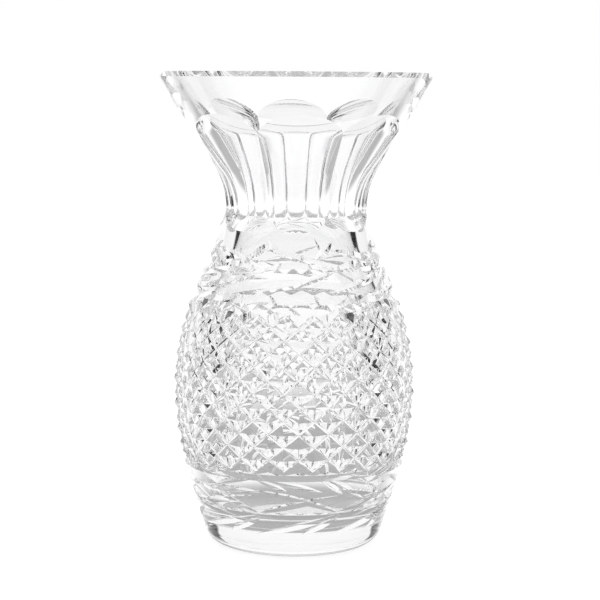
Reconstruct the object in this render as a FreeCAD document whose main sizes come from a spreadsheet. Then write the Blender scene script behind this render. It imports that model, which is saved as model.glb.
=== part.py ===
import FreeCAD, Part
import math
import os
import Sketcher

V = FreeCAD.Vector

# Sizes in millimetres, degrees and counts; heights are measured up from the base.
SIZES = {
    # outside of the blown blank
    "height": 254.0,
    "rim_radius": 72.8,
    "rim_bevel_drop": 2.7,
    "rim_bevel_run": 1.7,
    "flare_radius": 46.3,
    "flare_height": 203.8,
    "neck_radius": 40.4,
    "neck_height": 180.6,
    "neck_upper_arc": 48.0,
    "neck_lower_arc": 57.0,
    "collar_radius": 44.6,
    "collar_height": 159.0,
    "shoulder_radius": 58.2,
    "shoulder_height": 128.0,
    "belly_radius": 65.4,
    "belly_height": 86.0,
    "belly_upper_arc": 126.1,
    "belly_lower_arc": 155.0,
    "side_radius": 58.5,
    "side_height": 41.3,
    "heel_radius": 48.6,
    "heel_height": 9.0,
    "heel_arc": 11.5,
    "base_radius": 40.0,
    # inside of the blank
    "wall": 8.0,
    "shoulder_wall": 10.2,
    "collar_wall": 11.35,
    "neck_wall": 12.0,
    "rim_wall": 5.2,
    "inner_neck_arc": 50.5,
    "inner_belly_arc": 98.5,
    "floor_thickness": 14.0,
    "floor_radius": 27.0,
    "floor_arc": 20.5,
    "corner_radius": 46.6,
    "corner_height": 28.5,
    # ring mitres that border the diamonds: root, then the slope of each wall
    "upper_ring_radius": 52.0,
    "upper_ring_height": 134.8,
    "upper_steep_out": 6.4,
    "upper_steep_along": 5.1,
    "upper_gentle_out": 1.3,
    "upper_gentle_along": 6.1,
    "lower_ring_radius": 57.3,
    "lower_ring_height": 46.9,
    "lower_steep_out": 4.4,
    "lower_steep_along": 3.1,
    "lower_gentle_out": 2.9,
    "lower_gentle_along": 4.0,
    # hollow flutes
    "flute_count": 8,
    "flute_top": 232.3,
    "flute_upper_cusp": 222.0,
    "flute_lower_cusp": 179.5,
    "flute_bottom": 171.0,
    "flute_hollow": 2.2,
    # raised diamonds
    "diamond_count": 24,
    "diamond_half_rows": 12,
    "diamond_top": 129.7,
    "diamond_bottom": 48.6,
    "diamond_depth": 3.6,
    # leaf cuts
    "leaf_count": 8,
    "leaf_half_angle": 55.0,
    "upper_leaf_top": 162.4,
    "upper_leaf_node": 151.8,
    "upper_leaf_bottom": 140.8,
    "lower_leaf_top": 38.7,
    "lower_leaf_node": 25.2,
    "lower_leaf_bottom": 14.0,
    "upper_tip_low": 156.4,
    "upper_tip_high": 166.0,
    "upper_cross_depth": 2.4,
    "upper_leaf_depth": 1.6,
    "lower_cross_depth": 1.5,
    "lower_leaf_depth": 1.4,
}

# Allowances between the cuts and the surface of the blank.
ARRIS_DROP = 0.25
DIAMOND_LAND = 0.1
CUTTER_REACH = 0.6

doc = FreeCAD.newDocument("CutCrystalVase")
sheet = doc.addObject("Spreadsheet::Sheet", "Sizes")
for row, (alias, value) in enumerate(SIZES.items(), start=1):
    sheet.set(f"A{row}", alias)
    sheet.set(f"B{row}", str(value))
    sheet.setAlias(f"B{row}", alias)
doc.recompute()


def size(alias):
    return float(sheet.get(alias))


def check(obj):
    if "Invalid" in obj.State or "Error" in obj.State:
        raise RuntimeError(f"{obj.Name}: {obj.State}")
    if obj.Shape.isNull() or not obj.Shape.isValid():
        raise RuntimeError(f"{obj.Name}: bad shape")


def evaluate(text):
    """Value of a sum or difference of sheet names and plain numbers."""
    total = 0.0
    sign = 1.0
    for word in text.split():
        if word in "+-":
            sign = 1.0 if word == "+" else -1.0
        else:
            total += sign * (size(word) if word[0].isalpha() else float(word))
            sign = 1.0
    return total


def bound(text):
    words = [f"Sizes.{w}" if w[0].isalpha() else w for w in text.split()]
    return " ".join(words)


def draw_profile(sketch, corners):
    """Close a wire through corners (radius, height, radius of the arc that leaves it).

    A positive arc bulges to the right of the direction of travel, None is a line.
    """
    points = [V(evaluate(r), evaluate(z), 0) for r, z, arc in corners]
    edges = []
    for i, (r, z, arc) in enumerate(corners):
        start = points[i]
        end = points[(i + 1) % len(points)]
        if arc is None:
            edges.append(sketch.addGeometry(Part.LineSegment(start, end), False))
            continue
        side, name = arc
        radius = evaluate(name)
        chord = end - start
        across = V(chord.y, -chord.x, 0).normalize() * side
        rise = radius - math.sqrt(radius ** 2 - (chord.Length / 2) ** 2)
        middle = (start + end) / 2 + across * rise
        edges.append(sketch.addGeometry(Part.Arc(start, middle, end), False))
    for i, (r, z, arc) in enumerate(corners):
        edge = edges[i]
        reversed_arc = arc is not None and arc[0] < 0
        start_pos = 2 if reversed_arc else 1
        before = (i - 1) % len(corners)
        before_arc = corners[before][2]
        before_pos = 1 if before_arc is not None and before_arc[0] < 0 else 2
        sketch.addConstraint(
            Sketcher.Constraint("Coincident", edges[before], before_pos, edge, start_pos)
        )
        for kind, text in (("DistanceX", r), ("DistanceY", z)):
            if text == "0":
                axis = -2 if kind == "DistanceX" else -1
                sketch.addConstraint(
                    Sketcher.Constraint("PointOnObject", edge, start_pos, axis)
                )
                continue
            index = sketch.addConstraint(
                Sketcher.Constraint(kind, -1, 1, edge, start_pos, evaluate(text))
            )
            sketch.setExpression(f"Constraints[{index}]", bound(text))
        if arc is not None:
            index = sketch.addConstraint(
                Sketcher.Constraint("Radius", edge, evaluate(arc[1]))
            )
            sketch.setExpression(f"Constraints[{index}]", bound(arc[1]))


def plane(body, role):
    return next(f for f in body.Origin.OriginFeatures if f.Role == role)


def new_sketch(body, name):
    sketch = body.newObject("Sketcher::SketchObject", name)
    sketch.AttachmentSupport = (plane(body, "XZ_Plane"), [""])
    sketch.MapMode = "FlatFace"
    return sketch


# The blown blank: half section turned about the vertical axis.
blank = doc.addObject("PartDesign::Body", "blank")
blank_section = new_sketch(blank, "blank_section")
draw_profile(
    blank_section,
    [
        ("0", "0", None),
        ("base_radius", "0", (1, "heel_arc")),
        ("heel_radius", "heel_height", None),
        ("side_radius", "side_height", (1, "belly_lower_arc")),
        ("belly_radius", "belly_height", (1, "belly_upper_arc")),
        ("shoulder_radius", "shoulder_height", None),
        ("collar_radius", "collar_height", (-1, "neck_lower_arc")),
        ("neck_radius", "neck_height", (-1, "neck_upper_arc")),
        ("flare_radius", "flare_height", None),
        ("rim_radius", "height - rim_bevel_drop", None),
        ("rim_radius - rim_bevel_run", "height", None),
        ("rim_radius - rim_wall", "height", None),
        ("flare_radius - neck_wall", "flare_height", (1, "neck_upper_arc")),
        ("neck_radius - neck_wall", "neck_height", (1, "inner_neck_arc")),
        ("collar_radius - collar_wall", "collar_height", None),
        ("shoulder_radius - shoulder_wall", "shoulder_height", (-1, "inner_belly_arc")),
        ("belly_radius - wall", "belly_height", (-1, "belly_lower_arc")),
        ("side_radius - wall", "side_height", None),
        ("corner_radius", "corner_height", (-1, "floor_arc")),
        ("floor_radius", "floor_thickness", None),
        ("0", "floor_thickness", None),
    ],
)
doc.recompute()
blown = blank.newObject("PartDesign::Revolution", "blown")
blown.Profile = blank_section
blown.ReferenceAxis = (blank_section, ["V_Axis"])
blown.Angle = 360
doc.recompute()

# Ring mitres: a steep wall on the diamond side, a gentle wall on the leaf side.
for name, steep, gentle in (("upper", "-", "+"), ("lower", "+", "-")):
    radius = f"{name}_ring_radius"
    height = f"{name}_ring_height"
    ring_section = new_sketch(blank, f"{name}_ring_section")
    draw_profile(
        ring_section,
        [
            (radius, height, None),
            (
                f"{radius} + {name}_steep_out",
                f"{height} {steep} {name}_steep_along",
                None,
            ),
            (
                f"{radius} + {name}_gentle_out",
                f"{height} {gentle} {name}_gentle_along",
                None,
            ),
        ],
    )
    doc.recompute()
    ring = blank.newObject("PartDesign::Groove", f"{name}_ring")
    ring.Profile = ring_section
    ring.ReferenceAxis = (ring_section, ["V_Axis"])
    ring.Angle = 360
    doc.recompute()
blank.Tip = ring
doc.recompute()
if ring.Shape.Volume > blown.Shape.Volume - 100:
    raise RuntimeError("the ring mitres cut nothing")


def arc_radius(height, centre_height, end_radius, arc, bulge):
    """Radius of a meridian arc whose extreme radius is at centre_height."""
    rise = arc - math.sqrt(arc ** 2 - (height - centre_height) ** 2)
    return end_radius - bulge * rise


def line_radius(height, low, high):
    z0 = size(f"{low}_height")
    z1 = size(f"{high}_height")
    r0 = size(f"{low}_radius")
    r1 = size(f"{high}_radius")
    return r0 + (r1 - r0) * (height - z0) / (z1 - z0)


def outer_radius(height):
    """Radius of the uncut blank at a height above the heel."""
    if height < size("side_height"):
        return line_radius(height, "heel", "side")
    belly = size("belly_height")
    neck = size("neck_height")
    if height < belly:
        return arc_radius(height, belly, size("belly_radius"), size("belly_lower_arc"), 1)
    if height < size("shoulder_height"):
        return arc_radius(height, belly, size("belly_radius"), size("belly_upper_arc"), 1)
    if height < size("collar_height"):
        return line_radius(height, "shoulder", "collar")
    if height < neck:
        return arc_radius(height, neck, size("neck_radius"), size("neck_lower_arc"), -1)
    if height < size("flare_height"):
        return arc_radius(height, neck, size("neck_radius"), size("neck_upper_arc"), -1)
    rim_height = size("height") - size("rim_bevel_drop")
    slope = (size("rim_radius") - size("flare_radius")) / (rim_height - size("flare_height"))
    return size("flare_radius") + slope * (height - size("flare_height"))


def place(angle, radius, height):
    """Point at an angle in degrees, counted from the front (-Y) towards +X."""
    turn = math.radians(angle)
    return V(radius * math.sin(turn), -radius * math.cos(turn), height)


def solid_from(faces):
    solid = Part.makeSolid(Part.makeShell(faces))
    if solid.Volume < 0:
        solid.reverse()
    return solid


def cut(base, name, shape):
    """Add a tool of plain shape and take it away from the base object."""
    tool = doc.addObject("Part::Feature", f"{name}_tool")
    tool.Shape = shape
    result = doc.addObject("Part::Cut", name)
    result.Base = base
    result.Tool = tool
    doc.recompute()
    check(result)
    if result.Shape.Volume > base.Shape.Volume - 1:
        raise RuntimeError(f"{name} cuts nothing")
    return result


def turned(shapes, count, first=0, step=1):
    copies = []
    for shape in shapes:
        for k in range(first, count, step):
            copy = shape.copy()
            copy.rotate(V(0, 0, 0), V(0, 0, 1), 360.0 * k / count)
            copies.append(copy)
    return Part.makeCompound(copies)


# Leaf cuts: a V wheel rolled along the surface, deepest half-way.
def leaf_cutter(start_angle, start_height, end_angle, end_height, bow, depth, steps=4):
    slant = math.tan(math.radians(size("leaf_half_angle")))
    spots = []
    for i in range(steps + 1):
        share = i / steps
        angle = start_angle + (end_angle - start_angle) * share
        height = start_height + (end_height - start_height) * share
        height += bow * 4 * share * (1 - share)
        radius = outer_radius(height)
        slope = (outer_radius(height + 0.1) - outer_radius(height - 0.1)) / 0.2
        normal = place(angle, 1, -slope).normalize()
        spots.append((share, place(angle, radius, height), normal))
    root = []
    left = []
    right = []
    for i, (share, point, normal) in enumerate(spots):
        ahead = spots[min(i + 1, steps)][1] - spots[max(i - 1, 0)][1]
        across = ahead.cross(normal).normalize()
        plunge = depth * 4 * share * (1 - share)
        spread_out = (plunge + CUTTER_REACH) * slant
        top = point + normal * CUTTER_REACH
        root.append(point - normal * plunge)
        left.append(top + across * spread_out)
        right.append(top - across * spread_out)
    curves = []
    for line in (root, left, right):
        curve = Part.BSplineCurve()
        curve.interpolate(line)
        curves.append(curve.toShape())
    faces = [
        Part.makeRuledSurface(curves[0], curves[1]),
        Part.makeRuledSurface(curves[1], curves[2]),
        Part.makeRuledSurface(curves[2], curves[0]),
    ]
    for end in (0, -1):
        corners = [root[end], left[end], right[end], root[end]]
        faces.append(Part.Face(Part.makePolygon(corners)))
    return solid_from(faces)


# Turn and height of both ends, bow and depth. Turns are in leaf pitches; the
# nodes where the leaves meet stand half a pitch from the front.
LEAVES = {
    "upper_fall": (-1.53, "upper_leaf_top", -0.45, "upper_leaf_node", 1.2, "upper_leaf_depth"),
    "upper_cross": (-0.56, "upper_leaf_node", 0.56, "upper_leaf_node", 2.0, "upper_cross_depth"),
    "upper_sweep": (0.55, "upper_leaf_node", -0.62, "upper_leaf_bottom", -0.6, "upper_leaf_depth"),
    "upper_tip": (-0.78, "upper_tip_low", -0.46, "upper_tip_high", 0.0, "upper_leaf_depth"),
    "lower_fall": (-1.53, "lower_leaf_top", -0.45, "lower_leaf_node", 1.8, "lower_leaf_depth"),
    "lower_cross": (-0.56, "lower_leaf_node", 0.56, "lower_leaf_node", -0.6, "lower_cross_depth"),
    "lower_sweep": (0.55, "lower_leaf_node", -0.55, "lower_leaf_bottom", -0.8, "lower_leaf_depth"),
    "lower_rise": (0.45, "lower_leaf_node", 1.5, "lower_leaf_top - 3", 0.6, "lower_leaf_depth"),
    "lower_tip": (0.54, "lower_leaf_node - 2", 0.05, "lower_leaf_bottom", 0.0, "lower_leaf_depth"),
}
LEAF_COUNT = int(size("leaf_count"))


def leaf(name):
    start, start_height, end, end_height, bow, depth = LEAVES[name]
    pitch = 360.0 / LEAF_COUNT
    return leaf_cutter(
        start * pitch,
        evaluate(start_height),
        end * pitch,
        evaluate(end_height),
        bow,
        size(depth),
    )


# Cuts that touch one another are made in separate passes.
crosses = [leaf("upper_cross"), leaf("lower_cross")]
falls = [leaf("upper_fall"), leaf("lower_fall")]
sweeps = [leaf("upper_sweep"), leaf("lower_sweep")]
rises = [leaf("upper_tip"), leaf("lower_rise")]
work = cut(blank, "even_crosses", turned(crosses, LEAF_COUNT, 0, 2))
work = cut(work, "odd_crosses", turned(crosses, LEAF_COUNT, 1, 2))
work = cut(work, "falls", turned(falls, LEAF_COUNT))
work = cut(work, "sweeps", turned(sweeps, LEAF_COUNT))
work = cut(work, "rises", turned(rises, LEAF_COUNT))
work = cut(work, "lower_tips", turned([leaf("lower_tip")], LEAF_COUNT))


# Hollow flutes: sections of the wheel lofted along the neck.
FLUTES = int(size("flute_count"))
HALF_FLUTE = 180.0 / FLUTES


def flute_lift(height):
    """How far the wheel has left its full depth, 1 where the flute runs out."""
    upper = size("flute_upper_cusp")
    lower = size("flute_lower_cusp")
    if height > upper:
        return ((height - upper) / (size("flute_top") - upper)) ** 1.5
    if height < lower:
        return ((lower - height) / (lower - size("flute_bottom"))) ** 1.5
    return 0.0


def flute_section(height):
    arris = outer_radius(height) - ARRIS_DROP
    full_depth = outer_radius(height) - arris * math.cos(math.radians(HALF_FLUTE))
    full_depth += size("flute_hollow")
    lift = full_depth * flute_lift(height)
    half = arris * math.sin(math.radians(HALF_FLUTE))
    floor = outer_radius(height) - full_depth + lift
    hollow = size("flute_hollow")
    bend = (half ** 2 + hollow ** 2) / (2 * hollow)
    side = 1.12 * half
    side_rise = bend - math.sqrt(bend ** 2 - side ** 2)
    back = floor + 18
    left = V(-side, -(floor + side_rise), height)
    right = V(side, -(floor + side_rise), height)
    wheel = Part.Arc(left, V(0, -floor, height), right).toShape()
    rest = Part.makePolygon([right, V(side, -back, height), V(-side, -back, height), left])
    return Part.Wire([wheel] + rest.Edges)


def spread(low, high, steps):
    return [low + (high - low) * i / steps for i in range(steps)]


flute_stops = spread(size("flute_bottom") - 1.5, size("flute_lower_cusp"), 3)
flute_stops += spread(size("flute_lower_cusp"), size("flute_upper_cusp"), 3)
flute_stops += spread(size("flute_upper_cusp"), size("flute_top") + 1.5, 3)
flute_stops += [size("flute_top") + 1.5]
flute = Part.makeLoft([flute_section(z) for z in flute_stops], True, False)
work = cut(work, "even_flutes", turned([flute], FLUTES, 0, 2))
work = cut(work, "odd_flutes", turned([flute], FLUTES, 1, 2))


# Raised diamonds: what the crossing grooves leave standing, as one core.
def diamond_heights():
    """Row heights with the same groove angle all the way up."""
    rows = int(size("diamond_half_rows"))
    low = size("diamond_bottom")
    high = size("diamond_top")
    fine = 400
    growth = [0.0]
    for i in range(fine):
        middle = low + (high - low) * (i + 0.5) / fine
        growth.append(growth[-1] + 1 / outer_radius(middle))
    heights = []
    at = 0
    for row in range(rows + 1):
        while at < fine and growth[at] < growth[-1] * row / rows - 1e-12:
            at += 1
        heights.append(low + (high - low) * at / fine)
    return heights


def diamond_grinder():
    """Ring-shaped tool whose inner face is the finished diamond surface."""
    count = int(size("diamond_count"))
    columns = 2 * count
    levels = []
    for row, height in enumerate(diamond_heights()):
        ring = []
        for k in range(columns):
            is_groove = (k + row) % 2 == 1
            drop = size("diamond_depth") if is_groove else DIAMOND_LAND
            ring.append(place(180.0 * k / count, outer_radius(height) - drop, height))
        levels.append(ring)
    bottom = [V(p.x, p.y, size("lower_ring_height")) for p in levels[0]]
    top = [V(p.x, p.y, size("upper_ring_height")) for p in levels[-1]]
    faces = []

    def add(*corners):
        faces.append(Part.Face(Part.makePolygon(list(corners) + [corners[0]])))

    for row in range(len(levels) - 1):
        low, high = levels[row], levels[row + 1]
        for k in range(columns):
            n = (k + 1) % columns
            if (k + row) % 2 == 1:
                add(low[k], low[n], high[n])
                add(low[k], high[n], high[k])
            else:
                add(low[k], low[n], high[k])
                add(low[n], high[n], high[k])
    outside = []
    for ring, end in ((levels[0], bottom), (levels[-1], top)):
        rim = [place(180.0 * k / count, size("rim_radius"), end[0].z) for k in range(columns)]
        outside.append(rim)
        for k in range(columns):
            n = (k + 1) % columns
            add(ring[k], ring[n], end[n], end[k])
            add(end[k], end[n], rim[n], rim[k])
    for k in range(columns):
        n = (k + 1) % columns
        add(outside[0][k], outside[0][n], outside[1][n], outside[1][k])
    return solid_from(faces)


vase = cut(work, "vase", diamond_grinder())
vase.Label = "vase"
if len(vase.Shape.Solids) != 1:
    raise RuntimeError("the vase is not one solid")
for obj in (blank_section, blown, ring, blank):
    check(obj)
os.makedirs("parts", exist_ok=True)
vase.Shape.exportStep("parts/vase.step")
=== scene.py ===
import math

import bmesh
import bpy
from bpy.props import FloatProperty, IntProperty, PointerProperty
from mathutils import Matrix, Vector


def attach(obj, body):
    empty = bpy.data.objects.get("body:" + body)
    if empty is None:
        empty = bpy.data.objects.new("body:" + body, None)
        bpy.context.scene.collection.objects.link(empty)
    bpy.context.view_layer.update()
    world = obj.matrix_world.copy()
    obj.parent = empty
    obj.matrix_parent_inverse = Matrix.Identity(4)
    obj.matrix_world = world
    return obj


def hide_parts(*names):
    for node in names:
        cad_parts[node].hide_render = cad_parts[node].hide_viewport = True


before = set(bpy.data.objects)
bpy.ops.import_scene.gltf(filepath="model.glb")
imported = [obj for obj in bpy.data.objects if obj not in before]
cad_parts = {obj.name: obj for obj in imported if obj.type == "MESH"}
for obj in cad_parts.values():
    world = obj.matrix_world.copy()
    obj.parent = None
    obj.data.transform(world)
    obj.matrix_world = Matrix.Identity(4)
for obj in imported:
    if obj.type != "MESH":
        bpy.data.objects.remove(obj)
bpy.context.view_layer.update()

bl_info = {
    "name": "Cut Crystal Vase",
    "version": (1, 0, 0),
    "blender": (4, 5, 0),
    "location": "View3D > Sidebar > Vase",
    "description": "Blows and cuts a crystal vase and sets it in a plain studio",
    "category": "Object",
}

# Corners of one mesh that are closer than this are one corner.
PROFILE_MERGE = 1e-6
RING_MERGE = 1e-7
FINISH_MERGE = 2e-6

# Edges that turn by more than this are left crisp.
CRISP_ANGLE = math.radians(14)

# Half of the step over which the blank's slope is taken.
SLOPE_STEP = 1e-4

# How far a leaf wheel stands out of the glass, and its sections along one cut.
LEAF_REACH = 0.0006
LEAF_STEPS = 24

# Glass taken off each arris between flutes, how much wider than its flute the
# wheel is, how far it reaches past both ends, and how thick it is.
ARRIS_LAND = 0.00025
FLUTE_OVERHANG = 1.12
FLUTE_OVERRUN = 0.0015
FLUTE_WHEEL_BACK = 0.018
# Power of the curve by which the wheel leaves the glass.
FLUTE_RUN_OUT = 1.5
FLUTE_STEPS = 48
FLUTE_CORNERS = 16

# Drop of each diamond's tip below the blank, and steps used to space the rows.
DIAMOND_TIP_DROP = 0.0001
DIAMOND_SPACING_STEPS = 400

# Run and rise from each ring's root to the lower and upper corner of its wheel.
UPPER_RING_SIDES = ((0.0064, -0.0051), (0.0013, 0.0061))
LOWER_RING_SIDES = ((0.0029, -0.004), (0.0044, 0.0031))

GLASS_TINT = (0.995, 0.997, 1.0, 1)
GLASS_IOR = 1.55

# Layer weight between which the painted sheen turns the table from its grey to its pale
# shade.
PAINTED_SHEEN_TURN = (0.50, 0.72)

# Upward or backward part of a direction over which each part of the room fades.
SKIRTING_FADE = (0.03, 0.06)
BACKDROP_FADE = (0.60, 0.66)
CEILING_FADE = (0.55, 0.62)

# Times that light may pass through or bounce inside the glass.
LIGHT_BOUNCES = 32


def length(name, value, text):
    return FloatProperty(
        name=name,
        description=text,
        default=value,
        min=0.0,
        unit="LENGTH",
        subtype="DISTANCE",
    )


class VaseBlank(bpy.types.PropertyGroup):
    """Outside and inside of the blown blank, as radii and heights."""

    base_radius: length("Base radius", 0.040, "Radius of the flat base")
    heel_radius: length(
        "Heel radius", 0.0486, "Radius where the rounded heel meets the side"
    )
    heel_height: length("Heel height", 0.009, "Height of the rounded heel")
    heel_arc: length("Heel arc", 0.0115, "Radius of the heel's rounding")
    side_radius: length("Side radius", 0.0585, "Radius at the top of the straight side")
    side_height: length("Side height", 0.0413, "Height of the top of the straight side")
    belly_radius: length("Belly radius", 0.0654, "Largest radius of the belly")
    belly_height: length("Belly height", 0.086, "Height of the largest radius")
    belly_lower_arc: length(
        "Lower belly arc", 0.155, "Curve of the belly below its widest"
    )
    belly_upper_arc: length(
        "Upper belly arc", 0.1261, "Curve of the belly above its widest"
    )
    shoulder_radius: length(
        "Shoulder radius", 0.0582, "Radius at the foot of the shoulder"
    )
    shoulder_height: length("Shoulder height", 0.128, "Height of the foot of the shoulder")
    collar_radius: length("Collar radius", 0.0446, "Radius at the top of the shoulder")
    collar_height: length("Collar height", 0.159, "Height of the top of the shoulder")
    neck_radius: length("Neck radius", 0.0404, "Smallest outside radius of the neck")
    neck_height: length("Neck height", 0.1806, "Height of the smallest radius")
    neck_lower_arc: length("Lower neck arc", 0.057, "Curve of the neck below its waist")
    neck_upper_arc: length("Upper neck arc", 0.048, "Curve of the neck above its waist")
    flare_radius: length("Flare radius", 0.0463, "Radius where the flare turns straight")
    flare_height: length("Flare height", 0.2038, "Height where the flare turns straight")
    rim_radius: length("Rim radius", 0.0728, "Largest radius of the rim")
    rim_drop: length("Rim bevel drop", 0.0027, "Height of the rim's outer bevel")
    rim_run: length("Rim bevel run", 0.0017, "Width of the rim's outer bevel")
    rim_wall: length("Rim wall", 0.0052, "Thickness of the glass at the rim")
    height: length("Height", 0.254, "Height of the vase")
    wall: length("Wall", 0.008, "Thickness of the glass in the belly, measured level")
    shoulder_wall: length(
        "Shoulder wall", 0.0102, "Thickness of the glass in the shoulder"
    )
    collar_wall: length(
        "Collar wall", 0.01135, "Thickness of the glass over the shoulder"
    )
    neck_wall: length("Neck wall", 0.012, "Thickness of the glass in the neck")
    inner_neck_arc: length("Inner neck arc", 0.0505, "Curve of the inside below the neck")
    inner_belly_arc: length(
        "Inner belly arc", 0.0985, "Curve of the inside above the belly"
    )
    corner_radius: length(
        "Inner corner radius", 0.0466, "Inside radius above the floor's corner"
    )
    corner_height: length("Inner corner height", 0.0285, "Height of the top of that corner")
    floor_arc: length("Inner corner arc", 0.0205, "Rounding of the inside corner")
    floor_radius: length("Floor radius", 0.027, "Radius of the flat inside floor")
    floor_height: length("Floor height", 0.014, "Thickness of the glass under the floor")
    turns: IntProperty(
        name="Turning steps", description="Facets round the blank", default=192, min=48
    )


class VaseCuts(bpy.types.PropertyGroup):
    """Everything that the wheels take out of the blank."""

    upper_ring_radius: length("Upper ring radius", 0.052, "Root radius of the upper ring")
    upper_ring_height: length("Upper ring height", 0.1348, "Height of the upper ring's root")
    lower_ring_radius: length("Lower ring radius", 0.0573, "Root radius of the lower ring")
    lower_ring_height: length("Lower ring height", 0.0469, "Height of the lower ring's root")
    flutes: IntProperty(
        name="Flutes", description="Hollow flutes round the neck", default=8, min=3
    )
    flute_top: length("Flute top", 0.2323, "Height of the crown of each flute")
    flute_upper_cusp: length("Upper cusp", 0.222, "Height where neighbouring crowns meet")
    flute_lower_cusp: length("Lower cusp", 0.1795, "Height where neighbouring feet meet")
    flute_bottom: length("Flute bottom", 0.171, "Height of the foot of each flute")
    flute_hollow: length("Flute hollow", 0.0022, "How much each flute is hollowed")
    diamonds: IntProperty(
        name="Diamonds", description="Diamonds round the belly", default=24, min=6
    )
    diamond_rows: IntProperty(
        name="Half rows", description="Half rows of diamonds up the belly", default=12, min=2
    )
    diamond_top: length("Diamond top", 0.1297, "Upper edge of the diamonds")
    diamond_bottom: length("Diamond bottom", 0.0486, "Lower edge of the diamonds")
    diamond_depth: length("Diamond depth", 0.0036, "Depth of the grooves between diamonds")
    diamond_root: length(
        "Groove root", 0.0007, "Half width of the rounded root of each groove"
    )
    leaves: IntProperty(
        name="Leaf units", description="Leaf units round each band", default=8, min=3
    )
    leaf_angle: FloatProperty(
        name="Leaf half angle",
        description="Half of the angle of the wheel's edge",
        default=math.radians(55),
        unit="ROTATION",
        subtype="ANGLE",
    )


# Name, then turn in leaf pitches and height of the start and of the end, then
# upward bow and depth. Heights, bow and depth are in metres.
LEAVES = (
    ("upper_cross", -0.56, 0.1518, 0.56, 0.1518, 0.002, 0.0024),
    ("upper_fall", -1.53, 0.1624, -0.45, 0.1518, 0.0012, 0.0016),
    ("upper_sweep", 0.55, 0.1518, -0.62, 0.1408, -0.0006, 0.0016),
    ("upper_tip", -0.78, 0.1564, -0.46, 0.1660, 0.0, 0.0016),
    ("lower_cross", -0.56, 0.0252, 0.56, 0.0252, -0.0006, 0.0015),
    ("lower_fall", -1.53, 0.0387, -0.45, 0.0252, 0.0018, 0.0014),
    ("lower_sweep", 0.55, 0.0252, -0.55, 0.0140, -0.0008, 0.0014),
    ("lower_rise", 0.45, 0.0252, 1.5, 0.0357, 0.0006, 0.0014),
    ("lower_tip", 0.54, 0.0232, 0.05, 0.0140, 0.0, 0.0014),
)

# Leaf cuts in the order in which they are ground, with the first place round the
# vase and the step to the next. Neighbouring crosses meet, so every other one is
# ground at a time.
LEAF_PASSES = (
    (("upper_cross", "lower_cross"), 0, 2),
    (("upper_cross", "lower_cross"), 1, 2),
    (("upper_fall", "lower_fall"), 0, 1),
    (("upper_sweep", "lower_sweep"), 0, 1),
    (("upper_tip", "lower_rise"), 0, 1),
    (("lower_tip",), 0, 1),
)


def arc_radius(height, centre_height, end_radius, arc, bulge):
    """Radius on an arc that turns at the centre height; bulge 1 is out, -1 is in."""
    rise = arc - math.sqrt(arc * arc - (height - centre_height) ** 2)
    return end_radius - bulge * rise


def line_radius(height, z0, r0, z1, r1):
    return r0 + (r1 - r0) * (height - z0) / (z1 - z0)


def outer_radius(b, height):
    """Radius of the uncut blank at a height above the heel."""
    if height < b.side_height:
        return line_radius(
            height, b.heel_height, b.heel_radius, b.side_height, b.side_radius
        )
    if height < b.belly_height:
        return arc_radius(height, b.belly_height, b.belly_radius, b.belly_lower_arc, 1)
    if height < b.shoulder_height:
        return arc_radius(height, b.belly_height, b.belly_radius, b.belly_upper_arc, 1)
    if height < b.collar_height:
        return line_radius(
            height,
            b.shoulder_height,
            b.shoulder_radius,
            b.collar_height,
            b.collar_radius,
        )
    if height < b.neck_height:
        return arc_radius(height, b.neck_height, b.neck_radius, b.neck_lower_arc, -1)
    if height < b.flare_height:
        return arc_radius(height, b.neck_height, b.neck_radius, b.neck_upper_arc, -1)
    return line_radius(
        height, b.flare_height, b.flare_radius, b.height - b.rim_drop, b.rim_radius
    )


def place(angle, radius, height):
    """Point at an angle in radians, counted from the front (-Y) towards +X."""
    return Vector((radius * math.sin(angle), -radius * math.cos(angle), height))


def object_from(bm, name):
    mesh = bpy.data.meshes.new(name)
    bm.to_mesh(mesh)
    bm.free()
    obj = bpy.data.objects.new(name, mesh)
    bpy.context.scene.collection.objects.link(obj)
    return obj


def draw_arc(bm, last, end, arc, side, steps):
    """Spin the last profile vertex to the end point; side 1 bulges right of travel."""
    start = last.co.copy()
    chord = end - start
    across = Vector((chord.z, 0, -chord.x)).normalized() * side
    reach = math.sqrt(arc * arc - (chord.length / 2) ** 2)
    centre = (start + end) / 2 - across * reach
    angle = 2 * math.asin(chord.length / 2 / arc) * side
    made = bmesh.ops.spin(
        bm,
        geom=[last],
        cent=centre,
        axis=(0, -1, 0),
        angle=angle,
        steps=steps,
        use_duplicate=False,
    )
    last = [v for v in made["geom_last"] if isinstance(v, bmesh.types.BMVert)][0]
    last.co = end
    return last


def draw_line(bm, last, end, steps=1):
    """Draw the profile straight on to the end point."""
    start = last.co.copy()
    for i in range(1, steps + 1):
        made = bmesh.ops.extrude_vert_indiv(bm, verts=[last])
        last = made["verts"][0]
        last.co = start.lerp(end, i / steps)
    return last


def spin_round(bm, steps):
    """Turn everything in the mesh once round the vase's axis."""
    bmesh.ops.spin(
        bm,
        geom=bm.verts[:] + bm.edges[:],
        cent=(0, 0, 0),
        axis=(0, 0, 1),
        angle=math.tau,
        steps=steps,
        use_merge=True,
        use_duplicate=False,
    )


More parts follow.
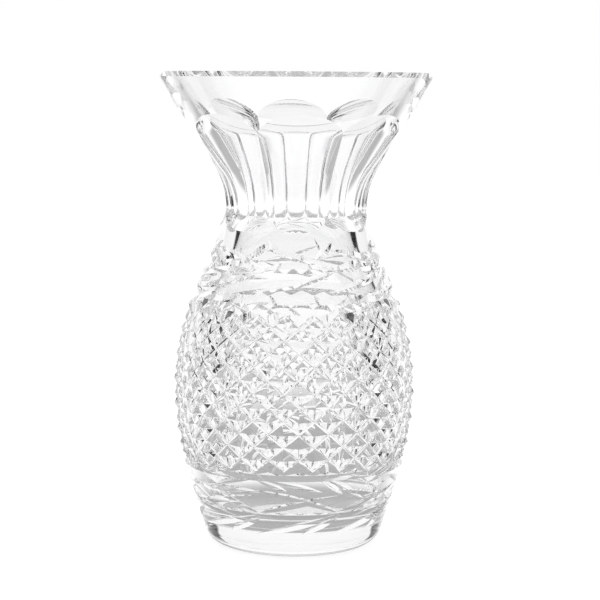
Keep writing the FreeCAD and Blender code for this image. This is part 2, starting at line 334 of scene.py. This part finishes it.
def blown_blank(b):
    """Half section drawn once, then spun round the vertical axis."""
    bm = bmesh.new()

    def at(radius, height):
        return Vector((radius, 0, height))

    last = bmesh.ops.create_vert(bm, co=at(0, 0))["vert"][0]
    last = draw_line(bm, last, at(b.base_radius, 0), 4)
    last = draw_arc(bm, last, at(b.heel_radius, b.heel_height), b.heel_arc, 1, 12)
    last = draw_line(bm, last, at(b.side_radius, b.side_height), 10)
    last = draw_arc(
        bm, last, at(b.belly_radius, b.belly_height), b.belly_lower_arc, 1, 12
    )
    last = draw_arc(
        bm, last, at(b.shoulder_radius, b.shoulder_height), b.belly_upper_arc, 1, 14
    )
    last = draw_line(bm, last, at(b.collar_radius, b.collar_height), 10)
    last = draw_arc(bm, last, at(b.neck_radius, b.neck_height), b.neck_lower_arc, -1, 12)
    last = draw_arc(bm, last, at(b.flare_radius, b.flare_height), b.neck_upper_arc, -1, 12)
    last = draw_line(bm, last, at(b.rim_radius, b.height - b.rim_drop), 14)
    last = draw_line(bm, last, at(b.rim_radius - b.rim_run, b.height))
    last = draw_line(bm, last, at(b.rim_radius - b.rim_wall, b.height))
    last = draw_line(bm, last, at(b.flare_radius - b.neck_wall, b.flare_height), 14)
    last = draw_arc(
        bm,
        last,
        at(b.neck_radius - b.neck_wall, b.neck_height),
        b.neck_upper_arc,
        1,
        12,
    )
    last = draw_arc(
        bm,
        last,
        at(b.collar_radius - b.collar_wall, b.collar_height),
        b.inner_neck_arc,
        1,
        12,
    )
    last = draw_line(
        bm, last, at(b.shoulder_radius - b.shoulder_wall, b.shoulder_height), 10
    )
    last = draw_arc(
        bm, last, at(b.belly_radius - b.wall, b.belly_height), b.inner_belly_arc, -1, 14
    )
    last = draw_arc(
        bm, last, at(b.side_radius - b.wall, b.side_height), b.belly_lower_arc, -1, 12
    )
    last = draw_line(bm, last, at(b.corner_radius, b.corner_height), 2)
    last = draw_arc(bm, last, at(b.floor_radius, b.floor_height), b.floor_arc, -1, 14)
    draw_line(bm, last, at(0, b.floor_height), 4)
    bmesh.ops.remove_doubles(bm, verts=bm.verts[:], dist=PROFILE_MERGE)
    spin_round(bm, b.turns)
    bmesh.ops.remove_doubles(bm, verts=bm.verts[:], dist=PROFILE_MERGE)
    bmesh.ops.recalc_face_normals(bm, faces=bm.faces[:])
    return object_from(bm, "blank")


def swept(bm, sections):
    """Solid drawn through closed sections that all have the same number of corners."""
    corners = len(sections[0])
    first = bmesh.ops.create_circle(bm, cap_ends=True, radius=1, segments=corners)
    face = first["verts"][0].link_faces[0]
    for vert, spot in zip(face.verts, sections[0]):
        vert.co = spot
    for i, section in enumerate(sections[1:]):
        made = bmesh.ops.extrude_face_region(bm, geom=[face])
        if i:
            bmesh.ops.delete(bm, geom=[face], context="FACES_ONLY")
        face = [f for f in made["geom"] if isinstance(f, bmesh.types.BMFace)][0]
        for vert, spot in zip(face.verts, section):
            vert.co = spot


def copies_round(bm, count, first=0, step=1):
    """Repeat everything in the mesh at every step-th place round the axis."""
    pattern = bm.verts[:] + bm.edges[:] + bm.faces[:]
    for k in range(first, count, step):
        made = bmesh.ops.duplicate(bm, geom=pattern)
        verts = [v for v in made["geom"] if isinstance(v, bmesh.types.BMVert)]
        turn = Matrix.Rotation(math.tau * k / count, 3, "Z")
        bmesh.ops.rotate(bm, verts=verts, cent=(0, 0, 0), matrix=turn)
    bmesh.ops.delete(bm, geom=[g for g in pattern if isinstance(g, bmesh.types.BMVert)])


def leaf_sections(b, cut, pitch, slant):
    """Triangular sections of a V wheel rolled along the surface, deepest half-way."""
    start, start_height, end, end_height, bow, depth = cut[1:]
    steps = LEAF_STEPS
    spots = []
    for i in range(steps + 1):
        share = i / steps
        angle = (start + (end - start) * share) * pitch
        height = start_height + (end_height - start_height) * share
        height += bow * 4 * share * (1 - share)
        rise = outer_radius(b, height + SLOPE_STEP) - outer_radius(b, height - SLOPE_STEP)
        slope = rise / (2 * SLOPE_STEP)
        normal = place(angle, 1, -slope).normalized()
        spots.append((share, place(angle, outer_radius(b, height), height), normal))
    sections = []
    for i, (share, point, normal) in enumerate(spots):
        ahead = spots[min(i + 1, steps)][1] - spots[max(i - 1, 0)][1]
        across = ahead.cross(normal).normalized()
        plunge = depth * 4 * share * (1 - share)
        spread = across * ((plunge + LEAF_REACH) * slant)
        top = point + normal * LEAF_REACH
        sections.append([point - normal * plunge, top + spread, top - spread])
    return sections


def leaf_cutter(b, c, names, first, step):
    """Named leaf cuts, repeated at every step-th place round the bands."""
    bm = bmesh.new()
    pitch = math.tau / c.leaves
    slant = math.tan(c.leaf_angle)
    for cut in LEAVES:
        if cut[0] in names:
            swept(bm, leaf_sections(b, cut, pitch, slant))
    copies_round(bm, c.leaves, first, step)
    bmesh.ops.recalc_face_normals(bm, faces=bm.faces[:])
    return object_from(bm, "leaf_wheel")


def flute_lift(c, height):
    """How far the wheel has left its full depth, 1 where the flute runs out."""
    if height > c.flute_upper_cusp:
        crown = c.flute_top - c.flute_upper_cusp
        return ((height - c.flute_upper_cusp) / crown) ** FLUTE_RUN_OUT
    if height < c.flute_lower_cusp:
        foot = c.flute_lower_cusp - c.flute_bottom
        return ((c.flute_lower_cusp - height) / foot) ** FLUTE_RUN_OUT
    return 0.0


def flute_section(b, c, height):
    """Level section of the flute wheel, rounded towards the vase's axis."""
    half_angle = math.pi / c.flutes
    skin = outer_radius(b, height)
    arris = skin - ARRIS_LAND
    full_depth = skin - arris * math.cos(half_angle) + c.flute_hollow
    half = arris * math.sin(half_angle)
    floor = skin - full_depth * (1 - flute_lift(c, height))
    bend = (half**2 + c.flute_hollow**2) / (2 * c.flute_hollow)
    corners = []
    for i in range(FLUTE_CORNERS + 1):
        side = FLUTE_OVERHANG * half * (2 * i / FLUTE_CORNERS - 1)
        reach = floor + bend - math.sqrt(bend**2 - side**2)
        corners.append(Vector((side, -reach, height)))
    back = floor + FLUTE_WHEEL_BACK
    corners.append(Vector((FLUTE_OVERHANG * half, -back, height)))
    corners.append(Vector((-FLUTE_OVERHANG * half, -back, height)))
    return corners


def flute_cutter(b, c, first):
    """Every other flute, because neighbouring wheels overlap."""
    bm = bmesh.new()
    low = c.flute_bottom - FLUTE_OVERRUN
    high = c.flute_top + FLUTE_OVERRUN
    sections = []
    for i in range(FLUTE_STEPS + 1):
        sections.append(flute_section(b, c, low + (high - low) * i / FLUTE_STEPS))
    swept(bm, sections)
    copies_round(bm, c.flutes, first, 2)
    bmesh.ops.recalc_face_normals(bm, faces=bm.faces[:])
    return object_from(bm, "flute_wheel")


def diamond_heights(b, c):
    """Row heights with the same groove angle all the way up."""
    fine = DIAMOND_SPACING_STEPS
    band = c.diamond_top - c.diamond_bottom
    growth = [0.0]
    for i in range(fine):
        middle = c.diamond_bottom + band * (i + 0.5) / fine
        growth.append(growth[-1] + 1 / outer_radius(b, middle))
    heights = []
    at = 0
    for row in range(c.diamond_rows + 1):
        wanted = growth[-1] * row / c.diamond_rows - 1e-9
        while at < fine and growth[at] < wanted:
            at += 1
        heights.append(c.diamond_bottom + band * at / fine)
    return heights


def diamond_cutter(b, c):
    """Ring whose inner face is the finished diamond surface."""
    columns = 2 * c.diamonds
    bm = bmesh.new()
    ring = bmesh.ops.create_circle(bm, radius=b.rim_radius, segments=columns)["verts"]
    edges = list({e for v in ring for e in v.link_edges})
    heights = diamond_heights(b, c)
    levels = []

    def is_level(edge, verts):
        return edge.verts[0] in verts and edge.verts[1] in verts

    def next_ring(ring, edges, spots):
        """Draw the open ring on to new spots; gives the new ring and its edges."""
        made = bmesh.ops.extrude_edge_only(bm, edges=edges)["geom"]
        fresh = []
        for vert in ring:
            mates = [e.other_vert(vert) for e in vert.link_edges]
            fresh.append([mate for mate in mates if mate in made][0])
        for vert, spot in zip(fresh, spots):
            vert.co = spot
        drawn = [g for g in made if isinstance(g, bmesh.types.BMEdge)]
        return fresh, [edge for edge in drawn if is_level(edge, fresh)]

    def spots_at(radii, height):
        return [place(math.pi * k / c.diamonds, r, height) for k, r in enumerate(radii)]

    outside = [b.rim_radius] * columns
    for vert, spot in zip(ring, spots_at(outside, c.lower_ring_height)):
        vert.co = spot
    rows = [(c.lower_ring_height, 0)] + [(z, row) for row, z in enumerate(heights)]
    rows.append((c.upper_ring_height, c.diamond_rows))
    for height, row in rows:
        level = min(max(height, heights[0]), heights[-1])
        radii = []
        for k in range(columns):
            drop = c.diamond_depth if (k + row) % 2 else DIAMOND_TIP_DROP
            radii.append(outer_radius(b, level) - drop)
        ring, edges = next_ring(ring, edges, spots_at(radii, height))
        levels.append(ring)
    next_ring(ring, edges, spots_at(outside, c.upper_ring_height))
    grooves = []
    for row in range(c.diamond_rows):
        low, high = levels[row + 1], levels[row + 2]
        for k in range(columns):
            n = (k + 1) % columns
            pair = (low[k], high[n]) if (k + row) % 2 else (low[n], high[k])
            grooves += bmesh.ops.connect_vert_pair(bm, verts=list(pair))["edges"]
    bmesh.ops.bevel(
        bm,
        geom=grooves,
        offset=c.diamond_root,
        offset_type="OFFSET",
        segments=2,
        profile=0.5,
        affect="EDGES",
        clamp_overlap=True,
    )
    open_edges = [e for e in bm.edges if e.is_boundary]
    bmesh.ops.bridge_loops(bm, edges=open_edges)
    bmesh.ops.recalc_face_normals(bm, faces=bm.faces[:])
    return object_from(bm, "diamond_wheel")


def ring_cutter(b, root_radius, root_height, sides):
    """Triangle standing on its root, spun round the axis."""
    bm = bmesh.new()
    corners = [Vector((root_radius, 0, root_height))]
    for run, rise in sides:
        corners.append(Vector((root_radius + run, 0, root_height + rise)))
    made = bmesh.ops.create_circle(bm, radius=1, segments=3)["verts"]
    for vert, spot in zip(made, corners):
        vert.co = spot
    spin_round(bm, b.turns)
    bmesh.ops.remove_doubles(bm, verts=bm.verts[:], dist=RING_MERGE)
    bmesh.ops.recalc_face_normals(bm, faces=bm.faces[:])
    return object_from(bm, "ring_wheel")


def grind(work, cutter):
    """Take the cutter away from the work and drop the cutter."""
    modifier = work.modifiers.new("grind", "BOOLEAN")
    modifier.operation = "DIFFERENCE"
    modifier.solver = "MANIFOLD"
    modifier.object = cutter
    bpy.context.view_layer.update()
    mesh = bpy.data.meshes.new_from_object(
        work.evaluated_get(bpy.context.evaluated_depsgraph_get())
    )
    work.modifiers.clear()
    old = work.data
    work.data = mesh
    bpy.data.meshes.remove(old)
    tool = cutter.data
    bpy.data.objects.remove(cutter)
    bpy.data.meshes.remove(tool)


def finish_mesh(obj):
    """Merge the slivers that grinding leaves and keep the cut edges crisp."""
    bm = bmesh.new()
    bm.from_mesh(obj.data)
    bmesh.ops.remove_doubles(bm, verts=bm.verts[:], dist=FINISH_MERGE)
    bmesh.ops.dissolve_degenerate(bm, edges=bm.edges[:], dist=FINISH_MERGE)
    bmesh.ops.recalc_face_normals(bm, faces=bm.faces[:])
    bm.to_mesh(obj.data)
    bm.free()
    obj.data.shade_smooth()
    obj.data.set_sharp_from_angle(angle=CRISP_ANGLE)


def cut_vase(b, c):
    """Blow the blank, then grind the rings, leaves, flutes and diamonds into it."""
    work = blown_blank(b)
    for radius, height, sides in (
        (c.upper_ring_radius, c.upper_ring_height, UPPER_RING_SIDES),
        (c.lower_ring_radius, c.lower_ring_height, LOWER_RING_SIDES),
    ):
        grind(work, ring_cutter(b, radius, height, sides))
    for names, first, step in LEAF_PASSES:
        grind(work, leaf_cutter(b, c, names, first, step))
    for first in (0, 1):
        grind(work, flute_cutter(b, c, first))
    grind(work, diamond_cutter(b, c))
    finish_mesh(work)
    return work


class VaseStudio(bpy.types.PropertyGroup):
    """Table, room and camera round the vase."""

    distance: length("Camera distance", 0.992, "Distance from the vase's axis")
    camera_height: length("Camera height", 0.2464, "Height of the camera over the table")
    camera_turn: FloatProperty(
        name="Camera turn",
        description="Turn of the camera round the vase",
        default=math.radians(-2.5),
        unit="ROTATION",
        subtype="ANGLE",
    )
    aim_height: length("Aim height", 0.1317, "Height that the camera looks at")
    aim_side: FloatProperty(
        name="Aim side",
        description="Sideways shift of the aim",
        default=0.0029,
        unit="LENGTH",
    )
    floor_radius: length("Floor radius", 4.0, "Radius of the round table top")
    # Painted shade: how much greyer the table is painted when a ray meets it from above.
    table_painted_shade: FloatProperty(
        name="Table shade",
        description="Share of the table's brightness left when seen from above",
        default=0.44,
    )
    shadow_shade: FloatProperty(
        name="Shadow depth",
        description="Brightness of the part of the table that takes light and shadow",
        default=0.35,
    )
    table_glow: FloatProperty(
        name="Table glow",
        description="Brightness of the table in full shadow",
        default=0.88,
    )
    dark_shade: FloatProperty(
        name="Dark walls",
        description="Brightness of the walls beside the camera",
        default=0.0,
    )
    ceiling_shade: FloatProperty(
        name="Ceiling shade", description="Brightness of the ceiling", default=0.8
    )
    lens: FloatProperty(name="Lens", description="Focal length in mm", default=110.7, min=1.0)
    roll: FloatProperty(
        name="Roll",
        description="Tilt of the camera about its own axis",
        default=math.radians(0.42),
        unit="ROTATION",
        subtype="ANGLE",
    )


def crystal_glass():
    material = bpy.data.materials.new("cut_crystal")
    material.use_nodes = True
    nodes = material.node_tree.nodes
    shader = nodes["Principled BSDF"]
    shader.inputs["Base Color"].default_value = GLASS_TINT
    shader.inputs["Metallic"].default_value = 0.0
    shader.inputs["Roughness"].default_value = 0.0
    shader.inputs["IOR"].default_value = GLASS_IOR
    shader.inputs["Transmission Weight"].default_value = 1.0
    return material


def ramp(tree, source, fade, low, high):
    """Value that goes smoothly from low to high while the source crosses the fade."""
    node = tree.nodes.new("ShaderNodeMapRange")
    node.interpolation_type = "SMOOTHSTEP"
    node.inputs["From Min"].default_value = fade[0]
    node.inputs["From Max"].default_value = fade[1]
    node.inputs["To Min"].default_value = low
    node.inputs["To Max"].default_value = high
    tree.links.new(source, node.inputs["Value"])
    return node.outputs["Result"]


def larger(tree, first, second):
    """The larger of two values."""
    node = tree.nodes.new("ShaderNodeMath")
    node.operation = "MAXIMUM"
    tree.links.new(first, node.inputs[0])
    tree.links.new(second, node.inputs[1])
    return node.outputs["Value"]


def add_floor(s):
    """Round table top with a painted sheen, paler the flatter a ray meets it; it takes
    shadow.
    """
    bm = bmesh.new()
    bmesh.ops.create_circle(bm, cap_ends=True, radius=s.floor_radius, segments=96)
    floor = object_from(bm, "floor")
    material = bpy.data.materials.new("table_painted_sheen")
    material.use_nodes = True
    tree = material.node_tree
    tree.nodes.clear()
    # Layer Weight paints the table's colour by each ray's angle, a painted sheen: greyer from
    # above, paler at grazing, on both the lit and the glowing part.
    facing = tree.nodes.new("ShaderNodeLayerWeight")
    facing.inputs["Blend"].default_value = 0.5
    slant = facing.outputs["Facing"]
    matt = tree.nodes.new("ShaderNodeBsdfDiffuse")
    shade = ramp(
        tree, slant, PAINTED_SHEEN_TURN, s.shadow_shade * s.table_painted_shade, s.shadow_shade
    )
    tree.links.new(shade, matt.inputs["Color"])
    path = tree.nodes.new("ShaderNodeLightPath")
    seen = larger(tree, path.outputs["Is Camera Ray"], path.outputs["Is Glossy Ray"])
    seen = larger(tree, seen, path.outputs["Is Transmission Ray"])
    bright = tree.nodes.new("ShaderNodeEmission")
    shade = ramp(tree, slant, PAINTED_SHEEN_TURN, s.table_glow * s.table_painted_shade, s.table_glow)
    tree.links.new(shade, bright.inputs["Color"])
    tree.links.new(seen, bright.inputs["Strength"])
    blend = tree.nodes.new("ShaderNodeAddShader")
    tree.links.new(matt.outputs["BSDF"], blend.inputs[0])
    tree.links.new(bright.outputs["Emission"], blend.inputs[1])
    output = tree.nodes.new("ShaderNodeOutputMaterial")
    tree.links.new(blend.outputs["Shader"], output.inputs["Surface"])
    floor.data.materials.append(material)
    return floor


def white_room(s):
    """White backdrop and skirting, dark walls beside the camera, grey ceiling."""
    world = bpy.data.worlds.new("white_room")
    bpy.context.scene.world = world
    world.use_nodes = True
    tree = world.node_tree
    background = tree.nodes["Background"]
    background.inputs["Color"].default_value = (1, 1, 1, 1)
    direction = tree.nodes.new("ShaderNodeTexCoord")
    split = tree.nodes.new("ShaderNodeSeparateXYZ")
    tree.links.new(direction.outputs["Generated"], split.inputs["Vector"])
    up, back = split.outputs["Z"], split.outputs["Y"]
    skirting = ramp(tree, up, SKIRTING_FADE, 1.0, s.dark_shade)
    backdrop = ramp(tree, back, BACKDROP_FADE, s.dark_shade, 1.0)
    ceiling = ramp(tree, up, CEILING_FADE, s.dark_shade, s.ceiling_shade)
    room = larger(tree, larger(tree, skirting, backdrop), ceiling)
    tree.links.new(room, background.inputs["Strength"])


def add_camera(s):
    """Camera at its distance and height, aimed beside the vase's axis."""
    data = bpy.data.cameras.new("camera")
    data.lens = s.lens
    data.sensor_width = 36
    data.clip_start = 0.01
    data.clip_end = 100
    camera = bpy.data.objects.new("camera", data)
    side = Vector((math.cos(s.camera_turn), math.sin(s.camera_turn), 0))
    spot = Vector(
        (
            s.distance * math.sin(s.camera_turn),
            -s.distance * math.cos(s.camera_turn),
            s.camera_height,
        )
    )
    aim = Vector((0, 0, s.aim_height)) + side * s.aim_side
    turn = (aim - spot).to_track_quat("-Z", "Y").to_matrix().to_4x4()
    roll = Matrix.Rotation(s.roll, 4, "Z")
    camera.matrix_world = Matrix.Translation(spot) @ turn @ roll
    bpy.context.scene.collection.objects.link(camera)
    bpy.context.scene.camera = camera


class VASE_OT_vase(bpy.types.Operator):
    """Blow the blank and cut the rings, leaves, flutes and diamonds into it"""

    bl_idname = "vase.make_vase"
    bl_label = "Make vase"
    bl_options = {"REGISTER", "UNDO"}

    def execute(self, context):
        vase = cut_vase(context.scene.vase_blank, context.scene.vase_cuts)
        vase.name = "cut_crystal_vase"
        vase.data.name = vase.name
        vase.data.materials.clear()
        vase.data.materials.append(crystal_glass())
        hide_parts("vase")
        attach(vase, "root")
        return {"FINISHED"}


class VASE_OT_studio(bpy.types.Operator):
    """Set up the floor, the light and the camera"""

    bl_idname = "vase.make_studio"
    bl_label = "Make studio"
    bl_options = {"REGISTER", "UNDO"}

    def execute(self, context):
        studio = context.scene.vase_studio
        white_room(studio)
        add_floor(studio)
        add_camera(studio)
        cycles = context.scene.cycles
        cycles.max_bounces = LIGHT_BOUNCES
        cycles.transmission_bounces = LIGHT_BOUNCES
        cycles.glossy_bounces = LIGHT_BOUNCES
        return {"FINISHED"}


class VASE_PT_panel(bpy.types.Panel):
    bl_label = "Cut crystal vase"
    bl_space_type = "VIEW_3D"
    bl_region_type = "UI"
    bl_category = "Vase"

    def draw(self, context):
        column = self.layout.column()
        column.operator(VASE_OT_vase.bl_idname)
        column.operator(VASE_OT_studio.bl_idname)


CLASSES = (
    VaseBlank,
    VaseCuts,
    VaseStudio,
    VASE_OT_vase,
    VASE_OT_studio,
    VASE_PT_panel,
)


def register():
    for each in CLASSES:
        bpy.utils.register_class(each)
    bpy.types.Scene.vase_blank = PointerProperty(type=VaseBlank)
    bpy.types.Scene.vase_cuts = PointerProperty(type=VaseCuts)
    bpy.types.Scene.vase_studio = PointerProperty(type=VaseStudio)


def unregister():
    del bpy.types.Scene.vase_studio
    del bpy.types.Scene.vase_cuts
    del bpy.types.Scene.vase_blank
    for each in reversed(CLASSES):
        bpy.utils.unregister_class(each)


def main():
    register()
    bpy.ops.vase.make_vase()
    bpy.ops.vase.make_studio()
    bpy.context.scene.view_settings.view_transform = "Standard"


if __name__ == "__main__":
    main()
